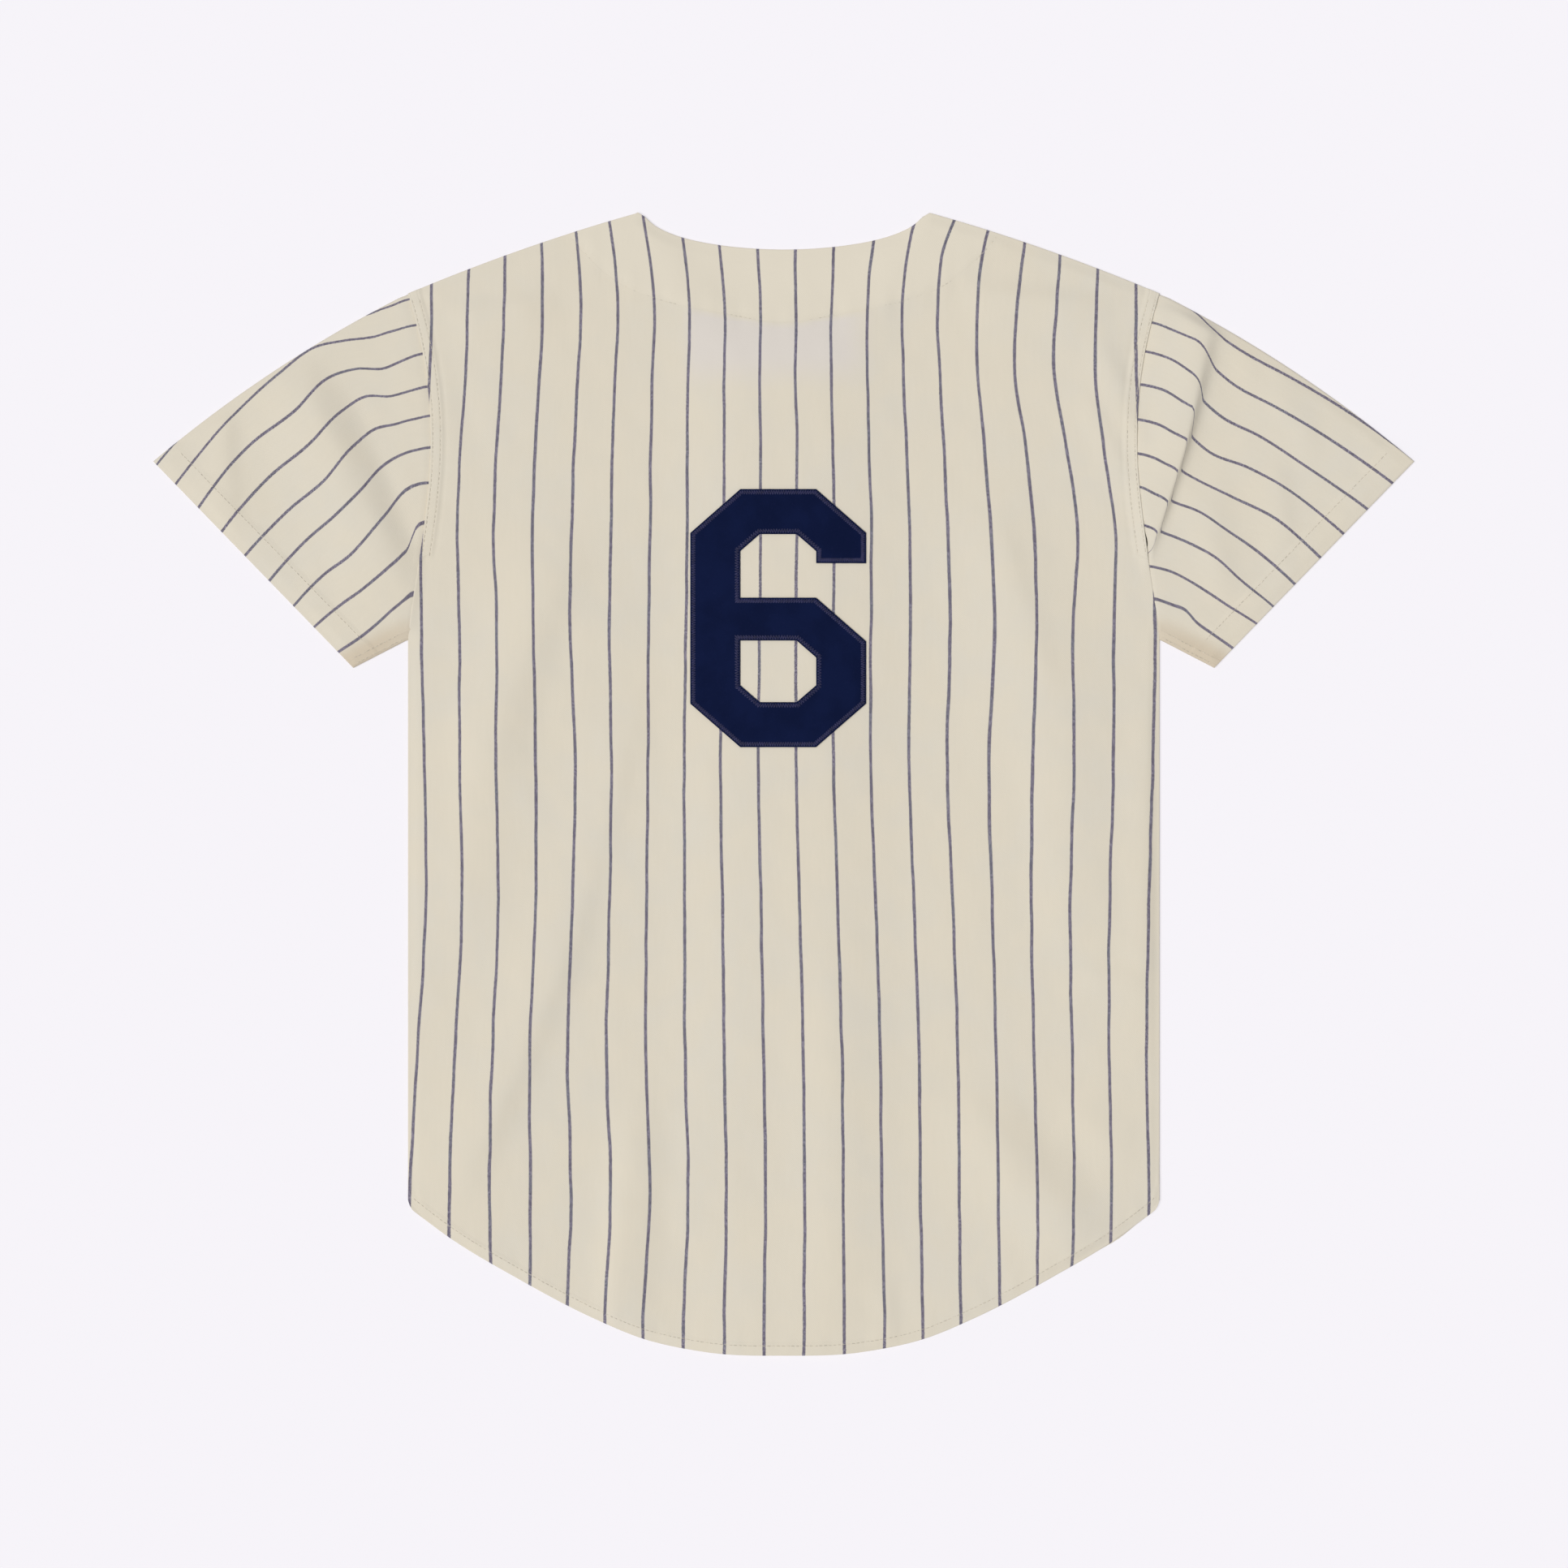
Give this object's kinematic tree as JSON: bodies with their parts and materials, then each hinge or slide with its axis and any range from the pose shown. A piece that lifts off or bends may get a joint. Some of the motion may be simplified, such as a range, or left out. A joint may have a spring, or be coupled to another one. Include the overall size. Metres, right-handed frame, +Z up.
{
  "type": "short-sleeved button-front baseball jersey laid flat back up",
  "caption": "Collarless short-sleeved jersey of pinstriped cream flannel with a curved hem and a felt block numeral on the back, lying flat with its buttoned front down.",
  "frame": {"origin": "on the surface the jersey lies on, under the middle of its bounding box", "axes": "+Z up out of the back of the jersey, +Y towards the neck, +X towards the wearer's right sleeve"},
  "size_m": [0.871, 0.7887, 0.0122],
  "materials": {
    "flannel": "brushed wool twill, cream with navy pinstripes",
    "felt": "navy wool felt, matt",
    "button": "bone-coloured, low gloss"
  },
  "bodies": {
    "root": {"back_panel": "flannel", "front_left": "flannel", "front_right": "flannel", "sleeve_left": "flannel", "sleeve_right": "flannel", "back_number": "felt", "button_1": "button", "button_2": "button", "button_3": "button", "button_4": "button", "button_5": "button", "button_6": "button"}
  },
  "joints": []
}
